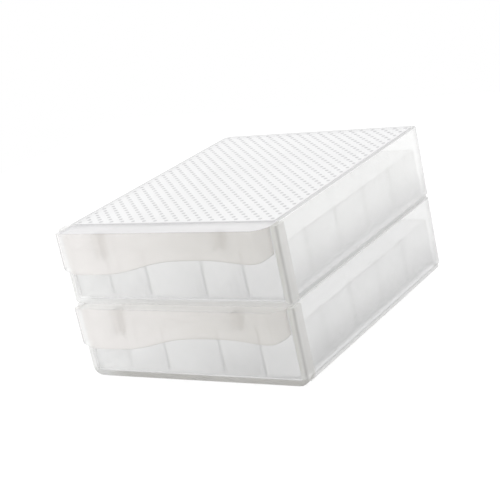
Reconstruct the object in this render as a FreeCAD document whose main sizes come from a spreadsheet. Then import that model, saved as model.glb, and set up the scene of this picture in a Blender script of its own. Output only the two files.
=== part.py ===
# Egg storage container: two stacked tiers, each a housing with a cover and a drawer. The drawer carries a
# clip-on pull and a grid of dividers.
# X runs to the right, the drawers open towards -Y and Z points up. All sizes are in millimetres.

import os

import FreeCAD
import Part
import Sketcher
from FreeCAD import Vector

doc = FreeCAD.newDocument("EggContainer")
sheet = doc.addObject("Spreadsheet::Sheet", "Sizes")

# Driving sizes
SIZES = [
    ("tier_height", 69.5, "rim height of one tier, also the step from tier to tier"),
    ("body_width", 217.0, "outer width of the housing behind its collar"),
    ("body_depth", 272.0, "front plane of the collar to the back of the housing"),
    ("wall", 2.0, "thickness of the housing walls"),
    ("floor_thick", 2.0, "thickness of the housing floor"),
    ("skirt_height", 4.0, "height of the stacking skirt under the walls"),
    ("skirt_inset", 1.5, "skirt set in from the walls"),
    ("skirt_thick", 2.0, "thickness of the skirt"),
    ("collar_out", 4.0, "collar stands proud of the walls"),
    ("collar_depth", 12.5, "depth of the front collar"),
    ("collar_edge_radius", 3.0, "rounding of the front edge of the collar"),
    ("lower_corner_radius", 10.0, "lower corners of the lower collar"),
    ("upper_corner_radius", 4.0, "lower corners of the upper collar"),
    ("back_corner_radius", 8.0, "upright back corners of the housing"),
    ("rim_width", 4.5, "width of the rim round the cover"),
    ("rabbet_depth", 1.5, "depth of the recess that takes the cover"),
    ("seat_width", 7.5, "width of the flange that carries the cover"),
    ("seat_thick", 2.0, "thickness of that flange"),
    ("cover_gap", 0.6, "gap between the cover and the rim"),
    ("cover_rise", 1.0, "cover stands above the rim"),
    ("cover_clear", 0.5, "front edge of the cover behind the collar"),
    ("cover_corner_radius", 3.0, "back corners of the cover"),
    ("cover_edge_radius", 0.6, "rounding of the top edge of the cover"),
    ("drawer_side_gap", 2.5, "gap between the drawer and the side wall"),
    ("drawer_back_gap", 4.0, "gap between the drawer and the back wall"),
    ("running_gap", 0.3, "drawer floor above the housing floor"),
    ("drawer_wall", 2.0, "thickness of the drawer walls"),
    ("drawer_floor", 1.8, "thickness of the drawer floor"),
    ("drawer_height", 41.7, "height of the drawer walls"),
    ("drawer_corner_radius", 5.0, "upright back corners of the drawer"),
    ("panel_set_back", 2.0, "drawer front behind the front plane of the collar"),
    ("panel_thick", 2.2, "thickness of the drawer front"),
    ("panel_gap", 0.8, "gap between the drawer front and the collar"),
    ("ledge_thick", 2.0, "thickness of the ledge on the drawer front"),
    ("ledge_gap", 0.5, "ledge below the rim and in front of the cover"),
    ("lip_reach", 9.0, "pull lip in front of the collar"),
    ("lip_thick", 2.0, "thickness of the pull lip"),
    ("lip_overhang", 3.0, "left end of the lip in front of the collar bar"),
    ("lip_gap", 0.6, "left end of the lip clear of the collar bar"),
    ("lip_left_radius", 3.0, "rounding of the left end of the lip"),
    ("lip_right_radius", 15.0, "rounding of the right end of the lip"),
    ("lip_drop_left", 38.0, "depth of the lip at its left lobe"),
    ("lip_drop_middle", 25.0, "depth of the lip at its arch"),
    ("lip_drop_right", 28.5, "depth of the lip at its right lobe"),
    ("clip_left", 66.5, "left clip of the pull from the middle"),
    ("clip_right", 57.5, "right clip of the pull from the middle"),
    ("clip_width", 8.5, "width of a clip"),
    ("clip_web", 1.5, "thickness of the webs, plate and hook of a clip"),
    ("left_clip_drop", 24.0, "height of the left clip at the lip"),
    ("right_clip_drop", 16.5, "height of the right clip at the lip"),
    ("clip_rise", 2.3, "lower end of a clip is higher at the drawer front"),
    ("clip_hook_drop", 10.0, "height of the hook behind the drawer front"),
    ("lip_end_gap", 0.3, "right end of the lip clear of the drawer front"),
    ("front_rib_inner", 29.0, "inner pair of ribs on the drawer front from the middle"),
    ("front_rib_outer", 70.0, "outer pair of ribs on the drawer front from the middle"),
    ("rib_width", 2.0, "width of the ribs on the drawer front"),
    ("rib_depth", 1.5, "ribs stand out from the drawer walls"),
    ("guide_width", 1.2, "width of the guide ribs beside a divider"),
    ("divider_thick", 1.6, "thickness of a divider"),
    ("divider_height", 36.0, "height of a divider"),
    ("divider_play", 0.2, "play between a divider and its guides"),
    ("divider_corner_radius", 6.0, "upper corners of a divider"),
    ("slot_play", 0.2, "play on each side where two dividers cross"),
    ("column_front_gap", 7.0, "column dividers end behind the drawer front"),
]

# Sizes that follow from the driving ones
DERIVED = [
    ("base_z", "0"),
    ("half_body", "body_width / 2"),
    ("half_inside", "half_body - wall"),
    ("half_collar", "half_body + collar_out"),
    ("half_skirt", "half_body - skirt_inset"),
    ("half_skirt_inside", "half_skirt - skirt_thick"),
    ("skirt_corner_radius", "back_corner_radius - skirt_inset"),
    ("skirt_inside_radius", "skirt_corner_radius - skirt_thick"),
    ("half_rabbet", "half_body - rim_width"),
    ("half_seat", "half_inside - seat_width"),
    ("half_cover", "half_rabbet - cover_gap"),
    ("front_y", "(lip_reach - body_depth) / 2"),
    ("before_front_y", "front_y - 5"),
    ("back_y", "front_y + body_depth"),
    ("back_inside_y", "back_y - wall"),
    ("bay_corner_radius", "back_corner_radius - wall"),
    ("collar_back_y", "front_y + collar_depth"),
    ("skirt_front_y", "collar_back_y"),
    ("skirt_back_y", "back_y - skirt_inset"),
    ("skirt_back_inside_y", "skirt_back_y - skirt_thick"),
    ("rabbet_back_y", "back_y - rim_width"),
    ("seat_back_y", "back_inside_y - seat_width"),
    ("cover_front_y", "collar_back_y + cover_clear"),
    ("cover_back_y", "rabbet_back_y - cover_gap"),
    ("floor_z", "skirt_height + floor_thick"),
    ("rabbet_z", "tier_height - rabbet_depth"),
    ("seat_z", "rabbet_z - seat_thick"),
    ("half_drawer", "half_inside - drawer_side_gap"),
    ("half_tub", "half_drawer - drawer_wall"),
    ("half_panel", "half_inside - panel_gap"),
    ("panel_y", "front_y + panel_set_back"),
    ("tub_front_y", "panel_y + panel_thick"),
    ("drawer_back_y", "back_inside_y - drawer_back_gap"),
    ("tub_back_y", "drawer_back_y - drawer_wall"),
    ("tub_corner_radius", "drawer_corner_radius - drawer_wall"),
    ("drawer_z", "floor_z + running_gap"),
    ("tub_z", "drawer_z + drawer_floor"),
    ("drawer_rim_z", "drawer_z + drawer_height"),
    ("ledge_top_z", "tier_height - ledge_gap"),
    ("ledge_z", "ledge_top_z - ledge_thick"),
    ("ledge_back_y", "cover_front_y - ledge_gap"),
    ("lip_y", "front_y - lip_reach"),
    ("wave_y", "lip_y - 5"),
    ("lip_inside_y", "lip_y + lip_thick"),
    ("lip_left_x", "-(half_panel + lip_overhang)"),
    ("lip_end_y", "front_y - lip_gap"),
    ("lip_low_z", "ledge_top_z - lip_drop_left - 2"),
    ("clip_overlap_y", "lip_inside_y - lip_thick / 4"),
    ("clip_plate_y", "panel_y - clip_web"),
    ("left_clip_front_z", "ledge_z - left_clip_drop"),
    ("left_clip_back_z", "left_clip_front_z + clip_rise"),
    ("right_clip_front_z", "ledge_z - right_clip_drop"),
    ("right_clip_back_z", "right_clip_front_z + clip_rise"),
    ("clip_hook_z", "ledge_z - clip_hook_drop"),
    ("clip_top_z", "ledge_z + ledge_thick / 2"),
    ("left_clip_low_x", "-clip_left - clip_width / 2"),
    ("left_clip_high_x", "-clip_left + clip_width / 2"),
    ("left_clip_inner_x", "left_clip_high_x - clip_web"),
    ("right_clip_low_x", "clip_right - clip_width / 2"),
    ("right_clip_high_x", "clip_right + clip_width / 2"),
    ("right_clip_inner_x", "right_clip_high_x - clip_web"),
    ("rib_front_y", "tub_front_y + rib_depth"),
    ("half_ribs", "half_tub - rib_depth"),
    ("row_pitch", "(tub_back_y - tub_front_y) / 5"),
    ("column_pitch", "2 * half_tub / 3"),
    ("column_front_y", "tub_front_y + column_front_gap"),
    ("column_back_y", "tub_back_y - divider_play"),
    ("divider_top_z", "tub_z + divider_height"),
    ("cross_z", "tub_z + divider_height / 2"),
    ("cross_half_slot", "divider_thick / 2 + slot_play"),
    ("guide_half_slot", "divider_thick / 2 + divider_play"),
    ("half_divider", "half_tub - divider_play"),
]

for row, (name, value, note) in enumerate(SIZES, start=1):
    sheet.set("A%d" % row, name)
    sheet.set("B%d" % row, str(value))
    sheet.set("C%d" % row, note)
    sheet.setAlias("B%d" % row, name)
for row, (name, formula) in enumerate(DERIVED, start=len(SIZES) + 2):
    sheet.set("A%d" % row, name)
    sheet.set("B%d" % row, "=" + formula)
    sheet.setAlias("B%d" % row, name)
doc.recompute()

ROWS = 5
COLUMNS = 3
TIERS = [("lower", "base_z", "lower_corner_radius"), ("upper", "tier_height", "upper_corner_radius")]


def size(name):
    """Value of a named size; a leading minus mirrors it."""
    if name.startswith("-"):
        return -float(sheet.get(name[1:]))
    return float(sheet.get(name))


def bound(name):
    """Expression that follows a named size of the sheet."""
    if name.startswith("-"):
        return "-Sizes." + name[1:]
    return "Sizes." + name


def new_body(label, lift):
    """Empty body whose height in the stack follows a named size."""
    body = doc.addObject("PartDesign::Body", label)
    body.Label = label
    body.setExpression("Placement.Base.z", bound(lift))
    return body


def new_sketch(body, name, plane, level):
    """Sketch on a plane of the body: "XY" at a height, "XZ" at a depth or "YZ" at a width."""
    sketch = body.newObject("Sketcher::SketchObject", name)
    role = plane + "_Plane"
    support = [item for item in body.Origin.OriginFeatures if item.Role == role][0]
    sketch.AttachmentSupport = [(support, "")]
    sketch.MapMode = "FlatFace"
    offset = "-(%s)" % bound(level) if plane == "XZ" else bound(level)
    sketch.setExpression("AttachmentOffset.Base.z", offset)
    return sketch


def add_polygon(sketch, corners):
    """Closed line loop; each corner is a pair of named sizes that drive it."""
    count = len(corners)
    first = sketch.GeometryCount
    points = [Vector(size(x), size(y), 0) for x, y in corners]
    for index in range(count):
        sketch.addGeometry(Part.LineSegment(points[index], points[(index + 1) % count]), False)
    for index in range(count):
        following = first + (index + 1) % count
        sketch.addConstraint(Sketcher.Constraint("Coincident", first + index, 2, following, 1))
    for index, (x, y) in enumerate(corners):
        for kind, name in (("DistanceX", x), ("DistanceY", y)):
            number = sketch.addConstraint(
                Sketcher.Constraint(kind, -1, 1, first + index, 1, size(name)))
            label = "%s_%d" % (kind.lower(), first + index)
            sketch.renameConstraint(number, label)
            sketch.setExpression("Constraints." + label, bound(name))


def add_rectangle(sketch, left, right, low, high):
    add_polygon(sketch, [(left, low), (right, low), (right, high), (left, high)])


def pad(body, sketch, name, length, reverse=False):
    """Pad along the sketch normal, or against it."""
    feature = body.newObject("PartDesign::Pad", name)
    feature.Profile = sketch
    feature.setExpression("Length", length)
    feature.Reversed = reverse
    doc.recompute()
    return feature


def pocket(body, sketch, name, length):
    """Pocket against the sketch normal; it has to take material away."""
    before = body.Shape.Volume
    feature = body.newObject("PartDesign::Pocket", name)
    feature.Profile = sketch
    feature.setExpression("Length", length)
    doc.recompute()
    if not feature.Shape.Volume < before - 0.01:
        raise RuntimeError("pocket %s takes nothing away" % name)
    return feature


def round_edges(body, name, radius, wanted):
    """Fillet the edges of the body's last feature that the test accepts."""
    base = body.Tip
    names = ["Edge%d" % (number + 1) for number, edge in enumerate(base.Shape.Edges) if wanted(edge)]
    if not names:
        raise RuntimeError("no edge for " + name)
    feature = body.newObject("PartDesign::Fillet", name)
    feature.Base = (base, names)
    feature.setExpression("Radius", bound(radius))
    doc.recompute()
    return feature


def near(first, second):
    return abs(first - second) < 0.01


def upright_at(x, y):
    """Test for upright edges at plus or minus x and at y."""
    def wanted(edge):
        box = edge.BoundBox
        straight = near(box.XLength, 0) and near(box.YLength, 0)
        return straight and near(abs(box.Center.x), x) and near(box.Center.y, y)
    return wanted


def along_y_at(x, z):
    """Test for edges along Y at plus or minus x and at z."""
    def wanted(edge):
        box = edge.BoundBox
        straight = near(box.XLength, 0) and near(box.ZLength, 0)
        return straight and near(abs(box.Center.x), x) and near(box.Center.z, z)
    return wanted


def collar_front_edge(edge):
    """Test for the outer front edge of the collar, without its upper ends."""
    box = edge.BoundBox
    in_front = near(box.YLength, 0) and near(box.Center.y, size("front_y"))
    at_side = near(max(abs(box.XMin), abs(box.XMax)), size("half_collar"))
    return in_front and (at_side or near(box.ZMax, 0)) and not near(box.ZMin, size("tier_height"))


def build_housing(tier, lift, corner):
    """Sleeve that is open at the front, with rim, skirt and front collar."""
    body = new_body(tier + "_housing", lift)

    collar = new_sketch(body, tier + "_collar_outline", "XZ", "front_y")
    add_polygon(collar, [
        ("-half_collar", "base_z"), ("half_collar", "base_z"),
        ("half_collar", "tier_height"), ("half_inside", "tier_height"),
        ("half_inside", "floor_z"), ("-half_inside", "floor_z"),
        ("-half_inside", "tier_height"), ("-half_collar", "tier_height")])
    pad(body, collar, tier + "_collar", "Sizes.collar_depth", reverse=True)
    round_edges(body, tier + "_collar_corners", corner,
                along_y_at(size("half_collar"), size("base_z")))

    round_edges(body, tier + "_collar_edge", "collar_edge_radius", collar_front_edge)

    skirt = new_sketch(body, tier + "_skirt_outline", "XY", "base_z")
    add_polygon(skirt, [
        ("-half_skirt", "skirt_front_y"), ("-half_skirt_inside", "skirt_front_y"),
        ("-half_skirt_inside", "skirt_back_inside_y"), ("half_skirt_inside", "skirt_back_inside_y"),
        ("half_skirt_inside", "skirt_front_y"), ("half_skirt", "skirt_front_y"),
        ("half_skirt", "skirt_back_y"), ("-half_skirt", "skirt_back_y")])
    pad(body, skirt, tier + "_skirt", "Sizes.skirt_height")
    round_edges(body, tier + "_skirt_corners", "skirt_corner_radius",
                upright_at(size("half_skirt"), size("skirt_back_y")))
    round_edges(body, tier + "_skirt_inside", "skirt_inside_radius",
                upright_at(size("half_skirt_inside"), size("skirt_back_inside_y")))

    block = new_sketch(body, tier + "_block_outline", "XY", "skirt_height")
    add_rectangle(block, "-half_body", "half_body", "front_y", "back_y")
    pad(body, block, tier + "_block", "Sizes.tier_height - Sizes.skirt_height")

    bay = new_sketch(body, tier + "_bay_outline", "XZ", "front_y")
    add_rectangle(bay, "-half_inside", "half_inside", "floor_z", "seat_z")
    pocket(body, bay, tier + "_bay", "Sizes.body_depth - Sizes.wall")
    round_edges(body, tier + "_bay_corners", "bay_corner_radius",
                upright_at(size("half_inside"), size("back_inside_y")))
    round_edges(body, tier + "_back_corners", "back_corner_radius",
                upright_at(size("half_body"), size("back_y")))

    mouth = new_sketch(body, tier + "_mouth_outline", "XY", "tier_height")
    add_rectangle(mouth, "-half_inside", "half_inside", "before_front_y", "cover_front_y")
    pocket(body, mouth, tier + "_mouth", "Sizes.tier_height - Sizes.floor_z")

    opening = new_sketch(body, tier + "_opening_outline", "XY", "tier_height")
    add_rectangle(opening, "-half_seat", "half_seat", "before_front_y", "seat_back_y")
    pocket(body, opening, tier + "_opening", "Sizes.tier_height - Sizes.seat_z")

    rabbet = new_sketch(body, tier + "_rabbet_outline", "XY", "tier_height")
    add_rectangle(rabbet, "-half_rabbet", "half_rabbet", "before_front_y", "rabbet_back_y")
    pocket(body, rabbet, tier + "_rabbet", "Sizes.rabbet_depth")
    return body


def build_cover(tier, lift):
    """Flat top plate that lies in the recess of the rim."""
    body = new_body(tier + "_cover", lift)
    plate = new_sketch(body, tier + "_plate_outline", "XY", "rabbet_z")
    add_rectangle(plate, "-half_cover", "half_cover", "cover_front_y", "cover_back_y")
    pad(body, plate, tier + "_plate", "Sizes.rabbet_depth + Sizes.cover_rise")
    round_edges(body, tier + "_plate_corners", "cover_corner_radius",
                upright_at(size("half_cover"), size("cover_back_y")))
    top = size("tier_height") + size("cover_rise")
    round_edges(body, tier + "_plate_edge", "cover_edge_radius",
                lambda edge: near(edge.BoundBox.ZMin, top) and near(edge.BoundBox.ZMax, top))
    return body


def lip_path(inset):
    """Outline of the lip in plan from its left end nearly to the drawer front, moved in by inset."""
    left = size("lip_left_x") + inset
    right = size("half_panel") - inset
    front = size("lip_y") + inset
    small = size("lip_left_radius") - inset
    large = size("lip_right_radius") - inset
    end = Vector(left, size("lip_end_y"), 0)
    middle = 0.5 ** 0.5
    start_arc = Vector(left, front + small, 0)
    mid_arc = Vector(left + small * (1 - middle), front + small * (1 - middle), 0)
    stop_arc = Vector(left + small, front, 0)
    turn = Vector(right - large, front, 0)
    reach = size("panel_y") - size("lip_end_gap") - front
    sine = (large - reach) / large
    last = Vector(right - large + large * (1 - sine ** 2) ** 0.5, front + reach, 0)
    mid_turn = Vector(right - large + large * middle, front + large * (1 - middle), 0)
    return [
        Part.LineSegment(end, start_arc),
        Part.Arc(start_arc, mid_arc, stop_arc),
        Part.LineSegment(stop_arc, turn),
        Part.Arc(turn, mid_turn, last)], end, last


def add_strip(sketch):
    """Closed outline of the hanging lip in plan."""
    outer, outer_end, outer_last = lip_path(0)
    inner, inner_end, inner_last = lip_path(size("lip_thick"))
    closing = [Part.LineSegment(outer_last, inner_last), Part.LineSegment(inner_end, outer_end)]
    sketch.addGeometry(outer + inner + closing, False)


def add_ledge(sketch):
    """Closed outline of the ledge in plan: the lip outline and the part between the collar bars."""
    outer, end, last = lip_path(0)
    side = size("half_panel")
    back = size("ledge_back_y")
    corners = [
        last, Vector(side, last.y, 0), Vector(side, back, 0), Vector(-side, back, 0),
        Vector(-side, end.y, 0), end]
    lines = [Part.LineSegment(corners[i], corners[i + 1]) for i in range(len(corners) - 1)]
    sketch.addGeometry(outer + lines, False)


def add_wave(sketch):
    """Outline of what is cut away under the wavy lower edge of the lip."""
    left = size("lip_left_x")
    right = size("half_panel")
    top = size("ledge_top_z")
    lobe = size("lip_drop_left")
    arch = size("lip_drop_middle")
    right_lobe = size("lip_drop_right")
    run = right - left
    shape = [
        (0.000, lobe - 9.0), (0.012, lobe - 4.2), (0.045, lobe - 0.9), (0.120, lobe),
        (0.230, lobe - 0.5), (0.350, 0.65 * lobe + 0.35 * arch), (0.480, 0.17 * lobe + 0.83 * arch),
        (0.620, arch), (0.760, arch + 0.4), (0.860, right_lobe - 0.8), (0.915, right_lobe),
        (0.960, right_lobe - 1.6), (1.000, right_lobe - 6.5)]
    points = [Vector(left + run * part, top - drop, 0) for part, drop in shape]
    curve = Part.BSplineCurve()
    curve.interpolate(points)
    low = size("lip_low_z") - 3
    margin = 4.0
    corners = [
        points[-1], Vector(right + margin, points[-1].y, 0), Vector(right + margin, low, 0),
        Vector(left - margin, low, 0), Vector(left - margin, points[0].y, 0), points[0]]
    lines = [Part.LineSegment(corners[i], corners[i + 1]) for i in range(len(corners) - 1)]
    sketch.addGeometry([curve] + lines, False)


def add_box(sketch, left, right, low, high):
    """Rectangle from plain numbers, for features that repeat."""
    corners = [Vector(left, low, 0), Vector(right, low, 0), Vector(right, high, 0), Vector(left, high, 0)]
    sketch.addGeometry([Part.LineSegment(corners[i], corners[(i + 1) % 4]) for i in range(4)], False)


def row_places():
    """Depth of each row divider's middle plane."""
    return [size("tub_front_y") + size("row_pitch") * step for step in range(1, ROWS)]


def column_places():
    """Middle plane of each column divider from the middle of the drawer."""
    return [size("column_pitch") * (step - COLUMNS / 2) for step in range(1, COLUMNS)]


def build_drawer(tier, lift):
    """Tub with ribs and guides, and a front panel that is taller than the tub."""
    body = new_body(tier + "_drawer", lift)

    tub = new_sketch(body, tier + "_tub_outline", "XY", "drawer_z")
    add_rectangle(tub, "-half_drawer", "half_drawer", "panel_y", "drawer_back_y")
    pad(body, tub, tier + "_tub", "Sizes.drawer_height")
    hollow = new_sketch(body, tier + "_hollow_outline", "XY", "drawer_rim_z")
    add_rectangle(hollow, "-half_tub", "half_tub", "tub_front_y", "tub_back_y")
    pocket(body, hollow, tier + "_hollow", "Sizes.drawer_height - Sizes.drawer_floor")
    round_edges(body, tier + "_hollow_corners", "tub_corner_radius",
                upright_at(size("half_tub"), size("tub_back_y")))
    round_edges(body, tier + "_tub_corners", "drawer_corner_radius",
                upright_at(size("half_drawer"), size("drawer_back_y")))

    panel = new_sketch(body, tier + "_panel_outline", "XZ", "panel_y")
    add_rectangle(panel, "-half_panel", "half_panel", "drawer_z", "ledge_z")
    pad(body, panel, tier + "_panel", "Sizes.panel_thick", reverse=True)

    ribs = new_sketch(body, tier + "_rib_outline", "XY", "drawer_z")
    half = size("rib_width") / 2
    for place in ("front_rib_inner", "front_rib_outer"):
        for middle in (-size(place), size(place)):
            add_box(ribs, middle - half, middle + half, size("tub_front_y") - 0.5, size("rib_front_y"))
    slot = size("guide_half_slot")
    broad = size("guide_width")
    for place in row_places():
        for low in (place - slot - broad, place + slot):
            add_box(ribs, -size("half_tub") - 0.5, -size("half_ribs"), low, low + broad)
            add_box(ribs, size("half_ribs"), size("half_tub") + 0.5, low, low + broad)
    pad(body, ribs, tier + "_ribs", "Sizes.drawer_height")
    return body


def build_pull(tier, lift):
    """Ledge on the drawer front with the hanging lip and two clips that grip the front panel."""
    body = new_body(tier + "_pull", lift)

    strip = new_sketch(body, tier + "_lip_outline", "XY", "lip_low_z")
    add_strip(strip)
    pad(body, strip, tier + "_lip", "Sizes.ledge_top_z - Sizes.lip_low_z")
    wave = new_sketch(body, tier + "_wave_outline", "XZ", "wave_y")
    add_wave(wave)
    pocket(body, wave, tier + "_wave", "Sizes.panel_y - Sizes.wave_y")

    ledge = new_sketch(body, tier + "_ledge_outline", "XY", "ledge_z")
    add_ledge(ledge)
    pad(body, ledge, tier + "_ledge", "Sizes.ledge_thick")

    for side in ("left", "right"):
        low, high = side + "_clip_low_x", side + "_clip_high_x"
        label = "%s_%s_clip" % (tier, side)
        plate = new_sketch(body, label + "_plate_outline", "XZ", "clip_plate_y")
        add_rectangle(plate, low, high, side + "_clip_back_z", "clip_top_z")
        pad(body, plate, label + "_plate", "Sizes.clip_web", reverse=True)
        hook = new_sketch(body, label + "_hook_outline", "XZ", "tub_front_y")
        add_rectangle(hook, low, high, "clip_hook_z", "clip_top_z")
        pad(body, hook, label + "_hook", "Sizes.clip_web", reverse=True)
        for number, place in enumerate((low, side + "_clip_inner_x"), start=1):
            web = new_sketch(body, "%s_web_%d_outline" % (label, number), "YZ", place)
            add_polygon(web, [
                ("clip_overlap_y", side + "_clip_front_z"), ("panel_y", side + "_clip_back_z"),
                ("panel_y", "clip_top_z"), ("clip_overlap_y", "clip_top_z")])
            pad(body, web, "%s_web_%d" % (label, number), "Sizes.clip_web")
    return body


def add_plate(sketch, along_x, ends, middle, place):
    """Thin rectangle between two named ends; its middle line follows an expression."""
    half = size("divider_thick") / 2
    low, high = size(ends[0]), size(ends[1])
    if along_x:
        corners = [(low, place - half), (high, place - half), (high, place + half), (low, place + half)]
    else:
        corners = [(place - half, low), (place + half, low), (place + half, high), (place - half, high)]
    points = [Vector(x, y, 0) for x, y in corners]
    sketch.addGeometry([Part.LineSegment(points[i], points[(i + 1) % 4]) for i in range(4)], False)
    for line in range(4):
        sketch.addConstraint(Sketcher.Constraint("Coincident", line, 2, (line + 1) % 4, 1))
    for line in (0, 2):
        sketch.addConstraint(Sketcher.Constraint("Horizontal", line))
        sketch.addConstraint(Sketcher.Constraint("Vertical", line + 1))
    long_way, short_way = ("DistanceX", "DistanceY") if along_x else ("DistanceY", "DistanceX")
    drives = [
        (long_way, 0, bound(ends[0]), low), (long_way, 2, bound(ends[1]), high),
        (short_way, 0, middle + " - Sizes.divider_thick / 2", place - half),
        (short_way, 2, middle + " + Sizes.divider_thick / 2", place + half)]
    for index, (kind, line, formula, value) in enumerate(drives):
        number = sketch.addConstraint(Sketcher.Constraint(kind, -1, 1, line, 1, value))
        sketch.renameConstraint(number, "drive_%d" % index)
        sketch.setExpression("Constraints.drive_%d" % index, formula)


def build_row_divider(tier, lift, number):
    """Cross divider on the drawer floor between its guide ribs, slotted from above."""
    label = "%s_row_divider_%d" % (tier, number)
    body = new_body(label, lift)
    place = row_places()[number - 1]
    plate = new_sketch(body, label + "_outline", "XY", "tub_z")
    add_plate(plate, True, ("-half_divider", "half_divider"),
              "Sizes.tub_front_y + Sizes.row_pitch * %d" % number, place)
    pad(body, plate, label + "_plate", "Sizes.divider_height")
    round_edges(body, label + "_corners", "divider_corner_radius",
                along_y_at(size("half_divider"), size("divider_top_z")))
    slots = new_sketch(body, label + "_slot_outline", "XY", "divider_top_z")
    half = size("cross_half_slot")
    for middle in column_places():
        add_box(slots, middle - half, middle + half, place - 2, place + 2)
    pocket(body, slots, label + "_slots", "Sizes.divider_top_z - Sizes.cross_z")
    return body


def build_column_divider(tier, lift, number):
    """Lengthwise divider that sits on the row dividers, slotted from below."""
    label = "%s_column_divider_%d" % (tier, number)
    body = new_body(label, lift)
    place = column_places()[number - 1]
    plate = new_sketch(body, label + "_outline", "XY", "tub_z")
    add_plate(plate, False, ("column_front_y", "column_back_y"),
              "Sizes.column_pitch * %.1f" % (number - COLUMNS / 2), place)
    pad(body, plate, label + "_plate", "Sizes.divider_height")
    slots = new_sketch(body, label + "_slot_outline", "XY", "cross_z")
    half = size("cross_half_slot")
    for middle in row_places():
        add_box(slots, place - 2, place + 2, middle - half, middle + half)
    pocket(body, slots, label + "_slots", "Sizes.divider_height / 2 + 1")
    return body


nodes = []
for tier_name, tier_lift, corner_size in TIERS:
    nodes.append(build_housing(tier_name, tier_lift, corner_size))
    nodes.append(build_cover(tier_name, tier_lift))
    nodes.append(build_drawer(tier_name, tier_lift))
    nodes.append(build_pull(tier_name, tier_lift))
    for row_divider in range(1, ROWS):
        nodes.append(build_row_divider(tier_name, tier_lift, row_divider))
    for column_divider in range(1, COLUMNS):
        nodes.append(build_column_divider(tier_name, tier_lift, column_divider))
doc.recompute()

# Every object has to be sound before its solid is written
for item in doc.Objects:
    if "Invalid" in item.State or "Error" in item.State:
        raise RuntimeError("%s did not build" % item.Label)
os.makedirs("parts", exist_ok=True)
for node in nodes:
    solid = node.Shape
    if solid.isNull() or not solid.isValid() or len(solid.Solids) != 1:
        raise RuntimeError("%s is not one sound solid" % node.Label)
    solid.exportStep(os.path.join("parts", node.Label + ".step"))
    print("%-18s %9.1f mm3" % (node.Label, solid.Volume))
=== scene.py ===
import math

import bmesh
import bpy
from mathutils import Matrix, Vector


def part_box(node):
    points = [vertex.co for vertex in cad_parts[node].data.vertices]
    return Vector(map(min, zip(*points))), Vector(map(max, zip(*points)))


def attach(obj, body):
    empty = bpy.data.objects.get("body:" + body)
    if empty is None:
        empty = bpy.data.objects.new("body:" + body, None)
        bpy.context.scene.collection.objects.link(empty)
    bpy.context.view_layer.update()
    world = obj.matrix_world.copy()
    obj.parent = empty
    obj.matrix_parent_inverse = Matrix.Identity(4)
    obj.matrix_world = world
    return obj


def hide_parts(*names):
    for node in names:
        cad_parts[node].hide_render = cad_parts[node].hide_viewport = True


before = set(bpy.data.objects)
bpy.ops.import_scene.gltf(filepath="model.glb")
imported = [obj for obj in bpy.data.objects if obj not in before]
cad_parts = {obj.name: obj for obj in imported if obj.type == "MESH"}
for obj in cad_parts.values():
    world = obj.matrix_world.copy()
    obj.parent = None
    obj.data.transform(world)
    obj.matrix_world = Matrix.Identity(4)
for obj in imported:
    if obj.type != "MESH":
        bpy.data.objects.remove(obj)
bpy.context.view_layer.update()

scene = bpy.context.scene

# Places that the looks depend on, in metres, among them where shade and highlights are painted; heights count
# from the foot of a tier
TIER = 0.0695
COLLAR_BACK_Y = -0.119
COLLAR_LEFT_X = -0.1125
BASE_BAND_Z = 0.0075
SKIRT_Z = 0.004
RIM_DEPTH = 0.0004
RIM_EDGE_DEPTH = 0.0006
LIP_BACK_Y = -0.1385
LIP_LEFT_X = -0.1087
LEDGE_UNDER_Z = 0.067
CLIP_REACH_X = 0.08
CLIP_CLEAR_Y = 0.0003
CLIP_CLEAR_Z = 0.0002
DRAWER_RIM_Z = 0.048
DRAWER_RIM_DEPTH = 0.001
INSIDE_RISE = 0.01
GUIDE_X = 0.098
NEAR = 0.0001

# How far a normal leans along an axis on faces that get a look of their own, most of them with painted shade
FACING = 0.9
HALF_FACING = 0.5
LEANING = 0.25
CORNER_LEAN_X = 0.1
CORNER_LEAN_Y = 0.12
PLATE_FACING = 0.4

# Mouldings: widest edge of a sheet, turn between faces of one region, sharp and flat angles, roundings; faces
# narrower than an edge of the sheet and the roundings take painted dark edges and highlights
EDGE_WIDTH = 0.0034
SMOOTH_TURN = 0.9
SHARP = math.radians(35)
FLAT = math.radians(0.5)
MERGE = 1e-6
THICK_ROUNDING = 0.0004
THIN_ROUNDING = 0.0003

# Cover: rounding of its corners and upper edge, and its dots
PLATE_RADIUS = 0.003
PLATE_EDGE = 0.0005
EDGE_STEPS = 3
DOT_HEIGHT = 0.00035
DOT_RADIUS = 0.0018
DOT_PITCH = 0.0117
DOTS_ACROSS = 18
DOTS_ALONG = 22
DOT_SEGMENTS = 12
DOT_RINGS = 8

# Plastic: wide tone clouds, fine grain
PLASTIC_IOR = 1.45
CLOUD_SCALE, CLOUD_DETAIL = 18.0, 3.0
CLOUD_LEAST, CLOUD_MOST = 0.96, 1.03
GRAIN_SCALE, GRAIN_DETAIL = 900.0, 2.0
GRAIN_ROUGHNESS = 0.12
GRAIN_STRENGTH, GRAIN_DEPTH = 0.05, 0.0002
# Milky plastic hides more than it shades: this share of its opacity holds light back
LIGHT_SHARE = 0.06
# Painted highlight on the left end of a lip, with a painted dark outline: its length, and for each step its
# place, grey level and how far it hides the colour
END_HIGHLIGHT_LENGTH = 0.010
END_HIGHLIGHT_STEPS = ((0.30, 0.42, 1.0), (0.37, 1.0, 1.0), (0.72, 1.0, 1.0), (1.0, 1.0, 0.0))

# Stage: half width, drop and greys of the floor, strength of the world, lamps and camera
FLOOR = 0.8
FLOOR_DROP = 0.0002
FLOOR_LIT = (0.72, 0.72, 0.72, 1.0)
FLOOR_SEEN = (0.99, 0.99, 0.99, 1.0)
WHITE = (1.0, 1.0, 1.0, 1.0)
WORLD_LIGHT = 0.97
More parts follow.
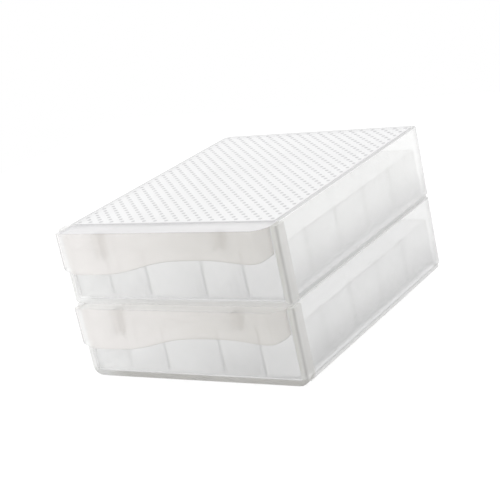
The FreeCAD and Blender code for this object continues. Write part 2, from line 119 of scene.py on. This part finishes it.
# Name, place, aim, size and power
LAMPS = (
    ("key", (-0.9, 0.8, 1.6), (0.0, 0.0, 0.05), 1.2, 6.0),
    ("left", (-0.45, -0.75, 0.25), (0.0, -0.1, 0.06), 0.4, 0.7),
    ("back_right", (0.65, 0.65, 0.3), (0.1, 0.05, 0.06), 0.4, 0.9))
SENSOR_WIDTH = 36.0
FOCAL_LENGTH = 100.4
LENS_SHIFT = (-0.00276, -0.00188)
CLIP_RANGE = (0.05, 20.0)
CAMERA_PLACE = (0.6950, -0.9915, 0.4476)
# Azimuth, elevation and roll in degrees
CAMERA_ANGLES = (35.34, 17.246, -12.238)
BOUNCES = 32
# Surfaces of plastic that one ray may pass
VEILS = 128


def feed(tree, socket, value):
    """Link an output to an input socket, or set the socket to a plain value."""
    if isinstance(value, bpy.types.NodeSocket):
        tree.links.new(value, socket)
    else:
        socket.default_value = value


def calculate(tree, operation, *values):
    """Result of an operation on outputs and numbers."""
    node = tree.nodes.new("ShaderNodeMath")
    node.operation = operation
    for socket, value in zip(node.inputs, values):
        feed(tree, socket, value)
    return node.outputs[0]


def blend(tree, factor, first, second):
    """Colour between two others."""
    mix = tree.nodes.new("ShaderNodeMix")
    mix.data_type = "RGBA"
    for label, value in (("Factor", factor), ("A", first), ("B", second)):
        feed(tree, mix.inputs[label], value)
    return mix.outputs["Result"]


def noise(tree, place, scale, detail):
    """Noise over places on the object."""
    texture = tree.nodes.new("ShaderNodeTexNoise")
    texture.inputs["Scale"].default_value = scale
    texture.inputs["Detail"].default_value = detail
    tree.links.new(place, texture.inputs["Vector"])
    return texture.outputs["Fac"]


def object_place(tree):
    """Place on the object, whole and split into its axes."""
    place = tree.nodes.new("ShaderNodeTexCoord").outputs["Object"]
    split = tree.nodes.new("ShaderNodeSeparateXYZ")
    tree.links.new(place, split.inputs[0])
    return place, split.outputs


def new_tree(material):
    """Empty node tree of a material, with its output node."""
    material.use_nodes = True
    tree = material.node_tree
    tree.nodes.clear()
    return tree, tree.nodes.new("ShaderNodeOutputMaterial")


def smooth_rise(tree, value, start, reach):
    """Smooth rise from 0 to 1 over a reach."""
    rise = tree.nodes.new("ShaderNodeMapRange")
    rise.interpolation_type = "SMOOTHSTEP"
    tree.links.new(calculate(tree, "SUBTRACT", value, start), rise.inputs["Value"])
    rise.inputs["From Min"].default_value = 0.0
    tree.links.new(reach, rise.inputs["From Max"])
    return rise.outputs["Result"]


def frost_group():
    """Shared surface of the frosted plastic: painted shade that darkens the foot of a tier, painted light that
    brightens its left end, and grain.
    """
    group = bpy.data.node_groups.new("Frost", "ShaderNodeTree")
    face = group.interface
    for label in ("Tint", "Foot Tint", "Left Tint"):
        face.new_socket(label, in_out="INPUT", socket_type="NodeSocketColor")
    for label in ("Foot Height", "Left Reach", "Roughness"):
        face.new_socket(label, in_out="INPUT", socket_type="NodeSocketFloat")
    face.new_socket("Color", in_out="OUTPUT", socket_type="NodeSocketColor")
    face.new_socket("Roughness", in_out="OUTPUT", socket_type="NodeSocketFloat")
    face.new_socket("Height", in_out="OUTPUT", socket_type="NodeSocketFloat")
    nodes, links = group.nodes, group.links
    enter = nodes.new("NodeGroupInput").outputs
    leave = nodes.new("NodeGroupOutput").inputs

    place, axes = object_place(group)
    height = calculate(group, "FLOORED_MODULO", axes["Z"], TIER)
    # Painted shade: darker towards the foot of each tier
    foot_shade_share = smooth_rise(group, height, 0.0, enter["Foot Height"])
    # Painted light: lighter towards the left end, as if lit from the left
    left_light_share = smooth_rise(group, axes["X"], COLLAR_LEFT_X, enter["Left Reach"])
    tone = blend(group, foot_shade_share, enter["Foot Tint"], enter["Tint"])
    tone = blend(group, left_light_share, enter["Left Tint"], tone)

    cloud = nodes.new("ShaderNodeMapRange")
    links.new(noise(group, place, CLOUD_SCALE, CLOUD_DETAIL), cloud.inputs["Value"])
    cloud.inputs["To Min"].default_value = CLOUD_LEAST
    cloud.inputs["To Max"].default_value = CLOUD_MOST
    shade = nodes.new("ShaderNodeVectorMath")
    shade.operation = "SCALE"
    links.new(tone, shade.inputs[0])
    links.new(cloud.outputs["Result"], shade.inputs["Scale"])
    links.new(shade.outputs[0], leave["Color"])

    grain = noise(group, place, GRAIN_SCALE, GRAIN_DETAIL)
    rough = calculate(group, "MULTIPLY_ADD", grain, GRAIN_ROUGHNESS, enter["Roughness"])
    links.new(rough, leave["Roughness"])
    links.new(grain, leave["Height"])
    return group


FROST = frost_group()


def painted_end_highlight(tree, colour):
    """Painted highlight on the left end of a lip with a painted dark outline, laid over a colour."""
    nodes, links = tree.nodes, tree.links
    along = nodes.new("ShaderNodeMapRange")
    links.new(object_place(tree)[1]["X"], along.inputs["Value"])
    along.inputs["From Min"].default_value = LIP_LEFT_X
    along.inputs["From Max"].default_value = LIP_LEFT_X + END_HIGHLIGHT_LENGTH
    shade = nodes.new("ShaderNodeValToRGB")
    links.new(along.outputs["Result"], shade.inputs["Fac"])
    steps = shade.color_ramp.elements
    steps[0].position, steps[1].position = END_HIGHLIGHT_STEPS[0][0], END_HIGHLIGHT_STEPS[-1][0]
    for position, _, _ in END_HIGHLIGHT_STEPS[1:-1]:
        steps.new(position)
    for step, (_, level, cover) in zip(steps, END_HIGHLIGHT_STEPS):
        step.color = (level, level, level, cover)
    return blend(tree, shade.outputs["Alpha"], colour, shade.outputs["Color"])


def frosted(name, tint, opacity, foot=None, foot_shade_height=0.02, left=None, left_light_reach=0.1, roughness=0.36,
            shine=0.5, end_highlight=False):
    """Milky plastic; what lies behind it shows through as far as its opacity allows. Its foot tint paints
    shade towards the foot of a tier, its left tint paints light towards the left end, and the end highlight
    paints the left end of a lip.
    """
    material = bpy.data.materials.new(name)
    tree, out = new_tree(material)
    nodes, links = tree.nodes, tree.links
    frost = nodes.new("ShaderNodeGroup")
    frost.node_tree = FROST
    for label, value in (
            ("Tint", (*tint, 1.0)), ("Foot Tint", (*(foot or tint), 1.0)), ("Foot Height", foot_shade_height),
            ("Left Tint", (*(left or tint), 1.0)), ("Left Reach", left_light_reach), ("Roughness", roughness)):
        frost.inputs[label].default_value = value
    surface = nodes.new("ShaderNodeBsdfPrincipled")
    surface.inputs["IOR"].default_value = PLASTIC_IOR
    surface.inputs["Specular IOR Level"].default_value = shine
    rays = nodes.new("ShaderNodeLightPath").outputs
    lighting = calculate(tree, "MAXIMUM", rays["Is Shadow Ray"], rays["Is Diffuse Ray"])
    veil = nodes.new("ShaderNodeMapRange")
    links.new(lighting, veil.inputs["Value"])
    veil.inputs["To Min"].default_value = opacity
    veil.inputs["To Max"].default_value = opacity * LIGHT_SHARE
    links.new(veil.outputs["Result"], surface.inputs["Alpha"])
    colour = frost.outputs["Color"]
    # Painted highlight on the left end of a lip
    links.new(painted_end_highlight(tree, colour) if end_highlight else colour, surface.inputs["Base Color"])
    links.new(frost.outputs["Roughness"], surface.inputs["Roughness"])
    bump = nodes.new("ShaderNodeBump")
    bump.inputs["Strength"].default_value = GRAIN_STRENGTH
    bump.inputs["Distance"].default_value = GRAIN_DEPTH
    links.new(frost.outputs["Height"], bump.inputs["Height"])
    links.new(bump.outputs["Normal"], surface.inputs["Normal"])
    links.new(surface.outputs["BSDF"], out.inputs["Surface"])
    return material


# Looks of the plastic. Foot tints are painted shade towards the foot of a tier, left tints are painted light
# towards the left end, and several looks are lit or shaded copies of one plastic.
LOOKS = {
    # Upper walls: foot tint is painted shade
    "wall": frosted("housing_wall", (0.96, 0.96, 0.955), 0.36, foot=(0.73, 0.73, 0.73), foot_shade_height=0.038),
    # Lower tier walls: darker copy, painted shade
    "low_wall": frosted("lower_housing_wall", (0.87, 0.87, 0.87), 0.36,
                        foot=(0.64, 0.64, 0.64), foot_shade_height=0.038),
    # Dark narrow edges: painted shade standing in for refraction and thickness
    "wall_edge": frosted("housing_edge", (0.60, 0.60, 0.59), 0.50, shine=0.0),
    # Bright edge: painted highlight
    "bright_edge": frosted("housing_bright_edge", (0.96, 0.96, 0.96), 0.80),
    # Leaning back faces: painted shade
    "corner": frosted("housing_corner", (0.62, 0.62, 0.62), 0.60),
    # Stacking band: painted shadow in the gap between tiers
    "skirt": frosted("housing_skirt", (0.66, 0.66, 0.655), 0.50),
    # Top edge face round the cover: painted shade
    "rim": frosted("housing_rim", (0.62, 0.62, 0.62), 0.80),
    # Collar: its left tint is painted light; its rounded faces are darker, painted shade
    "collar": frosted("collar", (0.60, 0.595, 0.565), 0.60, left=(0.84, 0.84, 0.83), left_light_reach=0.06),
    "collar_side": frosted("collar_side", (0.58, 0.57, 0.55), 0.60),
    "collar_round": frosted("collar_rounding", (0.42, 0.415, 0.40), 0.70,
                            left=(0.86, 0.86, 0.85), left_light_reach=0.06),
    "collar_soft": frosted("collar_soft", (0.51, 0.505, 0.48), 0.65, left=(0.85, 0.85, 0.84), left_light_reach=0.06),
    # Bottom bars of the collar: left tints are painted light, the lower bar is darker, painted shade
    "tier_bar": frosted("tier_bar", (0.67, 0.665, 0.65), 0.45, left=(0.80, 0.80, 0.79), left_light_reach=0.12),
    "base_band": frosted("base_band", (0.45, 0.44, 0.42), 0.80, left=(0.64, 0.64, 0.63), left_light_reach=0.045),
    "cover": frosted("cover_plate", (0.84, 0.84, 0.845), 0.75, roughness=0.40),
    # Cover sides: darker, painted shade
    "cover_edge": frosted("cover_edge", (0.62, 0.62, 0.625), 0.80),
    # Dots: darker grey, painted shade of the bumps
    "dots": frosted("cover_dots", (0.51, 0.51, 0.52), 0.85, roughness=0.25),
    # Lip: left tints are painted light, with a painted highlight on its left end
    "lip": frosted("pull_lip", (0.655, 0.63, 0.59), 0.38,
                   left=(0.90, 0.86, 0.835), left_light_reach=0.21, end_highlight=True),
    "lip_return": frosted("pull_return", (0.66, 0.63, 0.59), 0.38, left=(0.90, 0.86, 0.835), left_light_reach=0.21),
    # Narrow lip faces: painted dark edge, left tint painted light
    "lip_edge": frosted("pull_edge", (0.42, 0.41, 0.39), 0.60, left=(0.62, 0.61, 0.60), left_light_reach=0.12),
    "ledge": frosted("pull_ledge", (0.75, 0.745, 0.76), 0.70),
    # Lower ledge: darker copy, painted shade; left tint painted light
    "low_ledge": frosted("lower_pull_ledge", (0.55, 0.535, 0.51), 0.50,
                         left=(0.74, 0.73, 0.71), left_light_reach=0.21),
    "clip": frosted("pull_clip", (0.60, 0.585, 0.56), 0.42),
    # Drawer: foot tint is painted shade, left tint painted light
    "drawer": frosted("drawer_wall", (0.60, 0.60, 0.595), 0.42, foot=(0.55, 0.55, 0.55), foot_shade_height=0.05,
                      left=(0.80, 0.80, 0.795), left_light_reach=0.21),
    # Drawer inside: lighter copy, painted light
    "drawer_inside": frosted("drawer_inside", (0.92, 0.92, 0.915), 0.40),
    # Drawer edges, guides and top line: darker, painted shade; left tint painted light
    "drawer_edge": frosted("drawer_edge", (0.54, 0.54, 0.53), 0.48, left=(0.84, 0.84, 0.83), left_light_reach=0.06),
    "drawer_guide": frosted("drawer_guide", (0.53, 0.53, 0.52), 0.45),
    "drawer_rim": frosted("drawer_rim", (0.42, 0.415, 0.40), 0.62),
    # Dividers: lighter, painted light; their edges darker, painted shade
    "divider": frosted("divider_sheet", (0.92, 0.92, 0.915), 0.30),
    "divider_edge": frosted("divider_edge", (0.74, 0.74, 0.73), 0.45)}


def housing_look(middle, normal, narrow, lower):
    """Look of one face of a housing: plain plastic, or painted shade and painted highlight picked by place and
    facing.
    """
    height = middle.z - (0.0 if lower else TIER)
    if middle.y < COLLAR_BACK_Y - NEAR and normal.y < HALF_FACING:
        # Bottom bar of the collar: the lower tier's copy is darker, painted shade
        if height < BASE_BAND_Z:
            return "base_band" if lower else "tier_bar"
        # Rounded vertical edges of the collar: painted shade, darker where they turn furthest
        if abs(normal.x) > LEANING and normal.y < -LEANING:
            deep = abs(normal.x) > HALF_FACING and normal.y < -HALF_FACING
            return "collar_round" if deep else "collar_soft"
        return "collar_side" if normal.x > FACING and middle.x > 0 else "collar"
    # Top edge face round the cover: painted shade
    if height > TIER - RIM_DEPTH and normal.z > FACING:
        return "rim"
    # Narrow faces: painted highlight along the upper tier's top edge, painted dark edge elsewhere
    if narrow:
        return "bright_edge" if height > TIER - RIM_EDGE_DEPTH and not lower else "wall_edge"
    # Stacking band between tiers: painted shadow
    if height < SKIRT_Z and abs(normal.z) < HALF_FACING:
        return "skirt"
    # Back leaning faces: painted shade
    if abs(normal.x) > CORNER_LEAN_X and normal.y > CORNER_LEAN_Y:
        return "corner"
    # Lower tier walls: a copy darkened with painted shade
    return "low_wall" if lower else "wall"


def pull_look(middle, normal, narrow, lower):
    """Look of one face of a pull, with painted shade on its edges and on the lower ledge."""
    height = middle.z - (0.0 if lower else TIER)
    # Ledge on top: the lower tier's copy is darker, painted shade
    if height > LEDGE_UNDER_Z - NEAR and normal.z > FACING:
        return "low_ledge" if lower else "ledge"
    behind = middle.y > LIP_BACK_Y + CLIP_CLEAR_Y
    if behind and height < LEDGE_UNDER_Z - CLIP_CLEAR_Z and abs(middle.x) < CLIP_REACH_X:
        return "clip"
    # Narrow faces: painted dark edge
    if narrow:
        return "lip_edge"
    return "lip_return" if abs(normal.x) > FACING else "lip"


def drawer_look(middle, normal, narrow, lower):
    """Look of one face of a drawer, with painted shade on its edges and painted light inside."""
    height = middle.z - (0.0 if lower else TIER)
    # Narrow faces: painted dark edges and lines
    if narrow:
        if abs(height - DRAWER_RIM_Z) < DRAWER_RIM_DEPTH:
            return "drawer_rim"
        return "drawer_guide" if abs(middle.x) > GUIDE_X else "drawer_edge"
    # Faces turned inwards are lighter: painted light inside the drawer
    inwards = Vector((0.0, 0.0, middle.z + INSIDE_RISE)) - middle
    return "drawer_inside" if normal.dot(inwards) > 0 else "drawer"


def divider_look(middle, normal, narrow, lower):
    """Look of one face of a divider, with painted shade on its edges."""
    return "divider_edge" if narrow else "divider"


# For each kind of moulding: what finds the look of a face, with its painted shade and highlights, the looks in
# use and the rounding of edges
MOULDINGS = {
    "housing": (housing_look, [
        "wall", "low_wall", "wall_edge", "bright_edge", "corner", "skirt", "rim", "collar", "collar_side",
        "collar_round", "collar_soft", "tier_bar", "base_band"], THICK_ROUNDING),
    "pull": (pull_look, ["lip", "lip_return", "lip_edge", "ledge", "low_ledge", "clip"], THICK_ROUNDING),
    "drawer": (drawer_look, [
        "drawer", "drawer_inside", "drawer_edge", "drawer_guide", "drawer_rim"], THIN_ROUNDING),
    "divider": (divider_look, ["divider", "divider_edge"], THIN_ROUNDING)}


def narrow_faces(build):
    """Faces in smooth regions narrower than an edge of the sheet."""
    found, done = set(), set()
    for start in build.faces:
        if start in done:
            continue
        region, border, queue = [], 0.0, [start]
        done.add(start)
        while queue:
            current = queue.pop()
            region.append(current)
            for edge in current.edges:
                for other in edge.link_faces:
                    if other is current:
                        continue
                    if other.normal.dot(current.normal) < SMOOTH_TURN:
                        border += edge.calc_length()
                    elif other not in done:
                        done.add(other)
                        queue.append(other)
        area = sum(face.calc_area() for face in region)
        if border and 2 * area / border < EDGE_WIDTH:
            found.update(region)
    return found


def moulded(name, node, kind):
    """Copy of a solid with its sharp outer edges rounded and a look on each face; narrow faces and new
    roundings take the painted dark edges and highlights.
    """
    find_look, looks, rounding = MOULDINGS[kind]
    build = bmesh.new()
    build.from_mesh(node.data)
    bmesh.ops.remove_doubles(build, verts=build.verts, dist=MERGE)
    bmesh.ops.dissolve_limit(build, angle_limit=FLAT, verts=build.verts, edges=build.edges)
    build.normal_update()
    narrow = build.faces.layers.int.new("narrow")
    for face in narrow_faces(build):
        face[narrow] = 1
    outer = [edge for edge in build.edges if edge.is_manifold and edge.calc_face_angle_signed() > SHARP]
    made = bmesh.ops.bevel(build, geom=outer, offset=rounding, offset_type="OFFSET", segments=2, profile=0.5,
                           affect="EDGES", clamp_overlap=False, loop_slide=True)
    # New roundings count as narrow, so they take painted dark edges and highlights
    for face in made["faces"]:
        face[narrow] = 1
    bmesh.ops.triangulate(build, faces=build.faces)
    build.normal_update()
    lower = name.startswith("lower")
    for face in build.faces:
        look = find_look(face.calc_center_median(), face.normal, face[narrow] == 1, lower)
        face.material_index = looks.index(look)
    build.faces.layers.int.remove(narrow)
    mesh = bpy.data.meshes.new(name)
    build.to_mesh(mesh)
    build.free()
    for look in looks:
        mesh.materials.append(LOOKS[look])
    mesh.shade_smooth()
    mesh.set_sharp_from_angle(angle=SHARP)
    return mesh


def add_piece(name, mesh, body):
    """New visible piece on a body of the frame."""
    piece = bpy.data.objects.new(name, mesh)
    scene.collection.objects.link(piece)
    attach(piece, body)
    return piece


for name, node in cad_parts.items():
    kind = [word for word in ("housing", "cover", "pull", "drawer", "divider") if word in name][0]
    if kind == "cover":
        continue
    tier = name.split("_")[0]
    body = tier + ("_tier" if kind == "housing" else "_drawer_unit")
    piece = add_piece(name + "_moulding", moulded(name + "_moulding", node, kind), body)
    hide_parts(name)


def rounded_outline(x_low, x_high, y_low, y_high, radius, steps=6):
    """Points round a rectangle with rounded corners, counter-clockwise."""
    corners = [
        (x_high - radius, y_low + radius, -90), (x_high - radius, y_high - radius, 0),
        (x_low + radius, y_high - radius, 90), (x_low + radius, y_low + radius, 180)]
    points = []
    for x, y, start in corners:
        for step in range(steps + 1):
            angle = math.radians(start + 90 * step / steps)
            points.append((x + radius * math.cos(angle), y + radius * math.sin(angle)))
    return points


def plate_mesh(name, box_low, box_high, radius, edge):
    """Plate with rounded corners and a rounded upper edge."""
    mesh = bpy.data.meshes.new(name)
    build = bmesh.new()
    levels = [(0.0, box_low.z), (0.0, box_high.z - edge)]
    for step in range(1, EDGE_STEPS + 1):
        angle = math.radians(90 * step / EDGE_STEPS)
        levels.append((edge * (1 - math.cos(angle)), box_high.z - edge + edge * math.sin(angle)))
    rings = []
    for inset, height in levels:
        outline = rounded_outline(box_low.x + inset, box_high.x - inset, box_low.y + inset,
                                  box_high.y - inset, radius - inset)
        rings.append([build.verts.new((x, y, height)) for x, y in outline])
    count = len(rings[0])
    for lower, upper in zip(rings, rings[1:]):
        for index in range(count):
            following = (index + 1) % count
            build.faces.new((lower[index], lower[following], upper[following], upper[index]))
    build.faces.new(rings[-1])
    build.faces.new(list(reversed(rings[0])))
    build.to_mesh(mesh)
    build.free()
    return mesh


def dots_tree():
    """Raised dots in two grids, one set between the other."""
    tree = bpy.data.node_groups.new("Dots", "GeometryNodeTree")
    face = tree.interface
    face.new_socket("Geometry", in_out="INPUT", socket_type="NodeSocketGeometry")
    for label in ("Dot Radius", "Dot Height", "Pitch X", "Pitch Y"):
        face.new_socket(label, in_out="INPUT", socket_type="NodeSocketFloat")
    for label in ("Count X", "Count Y"):
        face.new_socket(label, in_out="INPUT", socket_type="NodeSocketInt")
    face.new_socket("Middle", in_out="INPUT", socket_type="NodeSocketVector")
    face.new_socket("Material", in_out="INPUT", socket_type="NodeSocketMaterial")
    face.new_socket("Geometry", in_out="OUTPUT", socket_type="NodeSocketGeometry")
    nodes, links = tree.nodes, tree.links
    enter = nodes.new("NodeGroupInput").outputs
    leave = nodes.new("NodeGroupOutput").inputs

    ball = nodes.new("GeometryNodeMeshUVSphere")
    ball.inputs["Segments"].default_value = DOT_SEGMENTS
    ball.inputs["Rings"].default_value = DOT_RINGS
    ball.inputs["Radius"].default_value = 1.0
    flat = nodes.new("ShaderNodeCombineXYZ")
    links.new(enter["Dot Radius"], flat.inputs["X"])
    links.new(enter["Dot Radius"], flat.inputs["Y"])
    links.new(enter["Dot Height"], flat.inputs["Z"])

    join = nodes.new("GeometryNodeJoinGeometry")
    for left_out in (0, 1):
        grid = nodes.new("GeometryNodeMeshGrid")
        for axis in ("X", "Y"):
            gaps = calculate(tree, "SUBTRACT", enter["Count " + axis], left_out + 1)
            length = calculate(tree, "MULTIPLY", gaps, enter["Pitch " + axis])
            count = calculate(tree, "ADD", gaps, 1.0)
            links.new(length, grid.inputs["Size " + axis])
            links.new(count, grid.inputs["Vertices " + axis])
        links.new(grid.outputs["Mesh"], join.inputs["Geometry"])
    put = nodes.new("GeometryNodeTransform")
    links.new(join.outputs["Geometry"], put.inputs["Geometry"])
    links.new(enter["Middle"], put.inputs["Translation"])
    spread = nodes.new("GeometryNodeInstanceOnPoints")
    links.new(put.outputs["Geometry"], spread.inputs["Points"])
    links.new(ball.outputs["Mesh"], spread.inputs["Instance"])
    links.new(flat.outputs["Vector"], spread.inputs["Scale"])
    real = nodes.new("GeometryNodeRealizeInstances")
    links.new(spread.outputs["Instances"], real.inputs["Geometry"])
    paint = nodes.new("GeometryNodeSetMaterial")
    links.new(real.outputs["Geometry"], paint.inputs["Geometry"])
    links.new(enter["Material"], paint.inputs["Material"])
    links.new(paint.outputs["Geometry"], leave["Geometry"])
    return tree


def run_nodes(name, tree, values):
    """Mesh that a geometry tree makes from named input values."""
    holder = bpy.data.objects.new(name + "_maker", bpy.data.meshes.new(name + "_seed"))
    scene.collection.objects.link(holder)
    modifier = holder.modifiers.new("Nodes", "NODES")
    modifier.node_group = tree
    sockets = {item.name: item.identifier for item in tree.interface.items_tree if item.in_out == "INPUT"}
    for label, value in values.items():
        modifier[sockets[label]] = value
    bpy.context.view_layer.update()
    graph = bpy.context.evaluated_depsgraph_get()
    mesh = bpy.data.meshes.new_from_object(holder.evaluated_get(graph))
    bpy.data.objects.remove(holder)
    mesh.name = name
    return mesh


DOTS = dots_tree()
for tier in ("lower", "upper"):
    low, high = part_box(tier + "_cover")
    low, high = Vector(low), Vector(high)
    high.z -= DOT_HEIGHT
    plate = plate_mesh(tier + "_cover_plate", low, high, PLATE_RADIUS, PLATE_EDGE)
    for look in ("cover", "cover_edge"):
        plate.materials.append(LOOKS[look])
    # Steep sides of the plate take the painted shade
    for face in plate.polygons:
        face.material_index = 1 if abs(face.normal.z) < PLATE_FACING else 0
    cover = add_piece(tier + "_cover_plate", plate, tier + "_tier")
    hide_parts(tier + "_cover")
    middle = (low + high) / 2
    dots = run_nodes(tier + "_cover_dots", DOTS, {
        "Dot Radius": DOT_RADIUS, "Dot Height": DOT_HEIGHT, "Pitch X": DOT_PITCH, "Pitch Y": DOT_PITCH,
        "Count X": DOTS_ACROSS, "Count Y": DOTS_ALONG, "Middle": (middle.x, middle.y, high.z),
        "Material": LOOKS["dots"]})
    add_piece(tier + "_cover_dots", dots, tier + "_tier")


def looked_at(tree):
    """1 for what the camera sees straight or mirrored, and 0 for what gives light."""
    rays = tree.nodes.new("ShaderNodeLightPath").outputs
    return calculate(tree, "MAXIMUM", rays["Is Camera Ray"], rays["Is Glossy Ray"])


# Floor, light and camera
floor_mesh = bpy.data.meshes.new("floor")
floor_mesh.from_pydata(
    [(-FLOOR, -FLOOR, 0), (FLOOR, -FLOOR, 0), (FLOOR, FLOOR, 0), (-FLOOR, FLOOR, 0)], [], [(0, 1, 2, 3)])
floor = bpy.data.objects.new("floor", floor_mesh)
floor.location.z = -FLOOR_DROP
scene.collection.objects.link(floor)
floor_look = bpy.data.materials.new("floor")
tree, out = new_tree(floor_look)
matt = tree.nodes.new("ShaderNodeBsdfDiffuse")
tree.links.new(blend(tree, looked_at(tree), FLOOR_LIT, FLOOR_SEEN), matt.inputs["Color"])
tree.links.new(matt.outputs["BSDF"], out.inputs["Surface"])
floor_mesh.materials.append(floor_look)

world = bpy.data.worlds.new("studio")
scene.world = world
world.use_nodes = True
tree = world.node_tree
tree.nodes.clear()
out = tree.nodes.new("ShaderNodeOutputWorld")
mix = tree.nodes.new("ShaderNodeMixShader")
tree.links.new(looked_at(tree), mix.inputs[0])
for socket, strength in ((mix.inputs[1], WORLD_LIGHT), (mix.inputs[2], 1.0)):
    sky = tree.nodes.new("ShaderNodeBackground")
    sky.inputs["Color"].default_value = WHITE
    sky.inputs["Strength"].default_value = strength
    tree.links.new(sky.outputs[0], socket)
tree.links.new(mix.outputs[0], out.inputs["Surface"])

for name, place, aim, size, power in LAMPS:
    lamp = bpy.data.lights.new(name, "AREA")
    lamp.shape = "DISK"
    lamp.size = size
    lamp.energy = power
    holder = bpy.data.objects.new(name, lamp)
    holder.location = place
    holder.rotation_euler = (Vector(aim) - Vector(place)).to_track_quat("-Z", "Y").to_euler()
    holder.visible_camera = False
    scene.collection.objects.link(holder)

lens = bpy.data.cameras.new("camera")
lens.sensor_width = SENSOR_WIDTH
lens.lens = FOCAL_LENGTH
lens.shift_x, lens.shift_y = LENS_SHIFT
lens.clip_start, lens.clip_end = CLIP_RANGE
camera = bpy.data.objects.new("camera", lens)
scene.collection.objects.link(camera)
scene.camera = camera
azimuth, elevation, roll = (math.radians(angle) for angle in CAMERA_ANGLES)
forward = Vector((-math.sin(azimuth) * math.cos(elevation), math.cos(azimuth) * math.cos(elevation),
                  -math.sin(elevation)))
level_right = Vector((math.cos(azimuth), math.sin(azimuth), 0.0))
level_up = level_right.cross(forward)
right = level_right * math.cos(roll) + level_up * math.sin(roll)
up = level_up * math.cos(roll) - level_right * math.sin(roll)
turn = Matrix((right, up, -forward)).transposed()
camera.matrix_world = Matrix.Translation(CAMERA_PLACE) @ turn.to_4x4()

scene.view_settings.view_transform = "Standard"
scene.cycles.max_bounces = BOUNCES
scene.cycles.transparent_max_bounces = VEILS
